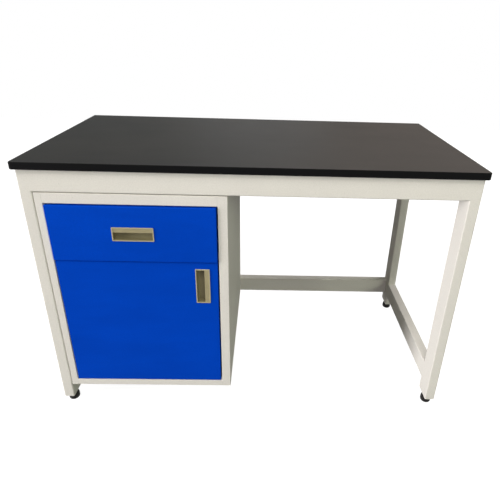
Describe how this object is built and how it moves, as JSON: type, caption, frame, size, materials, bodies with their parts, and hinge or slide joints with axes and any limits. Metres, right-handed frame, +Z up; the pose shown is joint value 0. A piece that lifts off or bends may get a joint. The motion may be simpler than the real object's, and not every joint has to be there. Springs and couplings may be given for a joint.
{
  "type": "laboratory bench",
  "caption": "Laboratory bench: black worktop on a white welded tube frame with levelling feet, and a hung blue-fronted cabinet with a drawer over a hinged door.",
  "frame": {"origin": "on the floor under the middle of the worktop", "axes": "+X along the width to the right as seen from the front, +Y from the front to the back, +Z up"},
  "size_m": [1.2, 0.6, 0.8],
  "materials": {
    "worktop_black": "satin black resin laminate with a fine grain",
    "frame_white": "warm white powder coat with orange peel",
    "cabinet_white": "warm white powder coat, smooth",
    "front_blue": "deep blue powder coat, satin",
    "pull_beige": "moulded beige, satin",
    "foot_black": "black moulded rubber",
    "plastic_black": "black moulded plastic",
    "zinc_steel": "bright zinc plate"
  },
  "bodies": {
    "bench": {"worktop": "worktop_black", "front_left_leg": "frame_white", "front_right_leg": "frame_white", "back_left_leg": "frame_white", "back_right_leg": "frame_white", "front_apron": "frame_white", "back_apron": "frame_white", "left_top_rail": "frame_white", "right_top_rail": "frame_white", "left_lower_rail": "frame_white", "right_lower_rail": "frame_white", "back_lower_rail": "frame_white", "left_hanger_rail": "frame_white", "right_hanger_rail": "frame_white", "leg_end_plugs": "plastic_black", "plug_nuts": "zinc_steel", "worktop_tabs": "frame_white", "worktop_screws": "zinc_steel", "cabinet_left_side": "cabinet_white", "cabinet_right_side": "cabinet_white", "cabinet_top": "cabinet_white", "cabinet_bottom": "cabinet_white", "cabinet_back": "cabinet_white", "left_stile": "cabinet_white", "right_stile": "cabinet_white", "face_top_rail": "cabinet_white", "face_bottom_rail": "cabinet_white", "divider_rail": "cabinet_white", "upper_hinge_plate": "zinc_steel", "lower_hinge_bush": "plastic_black", "slide_brackets": "zinc_steel", "slide_outer_members": "zinc_steel", "hanging_bolts": "zinc_steel", "hanging_spacers": "zinc_steel", "shelf": "cabinet_white", "shelf_clips": "zinc_steel", "catch_body": "plastic_black", "catch_poles": "zinc_steel"},
    "drawer": {"drawer_front": "front_blue", "drawer_liner": "front_blue", "drawer_pull": "pull_beige", "drawer_left_side": "cabinet_white", "drawer_right_side": "cabinet_white", "drawer_bottom": "cabinet_white", "drawer_back": "cabinet_white", "slide_inner_members": "zinc_steel"},
    "slide_middles": {"slide_middle_members": "zinc_steel"},
    "door": {"door_panel": "front_blue", "door_liner": "front_blue", "door_pull": "pull_beige", "door_pivot_pins": "zinc_steel", "door_strike": "zinc_steel"},
    "front_left_leveller": {"front_left_foot": "foot_black", "front_left_stud": "zinc_steel"},
    "front_right_leveller": {"front_right_foot": "foot_black", "front_right_stud": "zinc_steel"},
    "back_left_leveller": {"back_left_foot": "foot_black", "back_left_stud": "zinc_steel"},
    "back_right_leveller": {"back_right_foot": "foot_black", "back_right_stud": "zinc_steel"}
  },
  "joints": [
    {"name": "drawer_slide", "type": "slide", "parent": "bench", "child": "drawer", "axis": [0, -1, 0], "range_m": [-0.005, 0.395]},
    {"name": "slide_middle_travel", "type": "slide", "parent": "bench", "child": "slide_middles", "axis": [0, -1, 0], "range_m": [-0.0025, 0.1975]},
    {"name": "door_hinge", "type": "hinge", "parent": "bench", "child": "door", "pos_m": [-0.522, -0.281, 0.3155], "axis": [0, 0, -1], "range_deg": [0, 110]},
    {"name": "front_left_leveller_screw", "type": "slide", "parent": "bench", "child": "front_left_leveller", "axis": [0, 0, -1], "range_m": [0, 0.012]},
    {"name": "front_right_leveller_screw", "type": "slide", "parent": "bench", "child": "front_right_leveller", "axis": [0, 0, -1], "range_m": [0, 0.012]},
    {"name": "back_left_leveller_screw", "type": "slide", "parent": "bench", "child": "back_left_leveller", "axis": [0, 0, -1], "range_m": [0, 0.012]},
    {"name": "back_right_leveller_screw", "type": "slide", "parent": "bench", "child": "back_right_leveller", "axis": [0, 0, -1], "range_m": [0, 0.012]}
  ],
  "couplings": [
    {"joint": "slide_middle_travel", "follows": "drawer_slide", "ratio": 0.5}
  ]
}
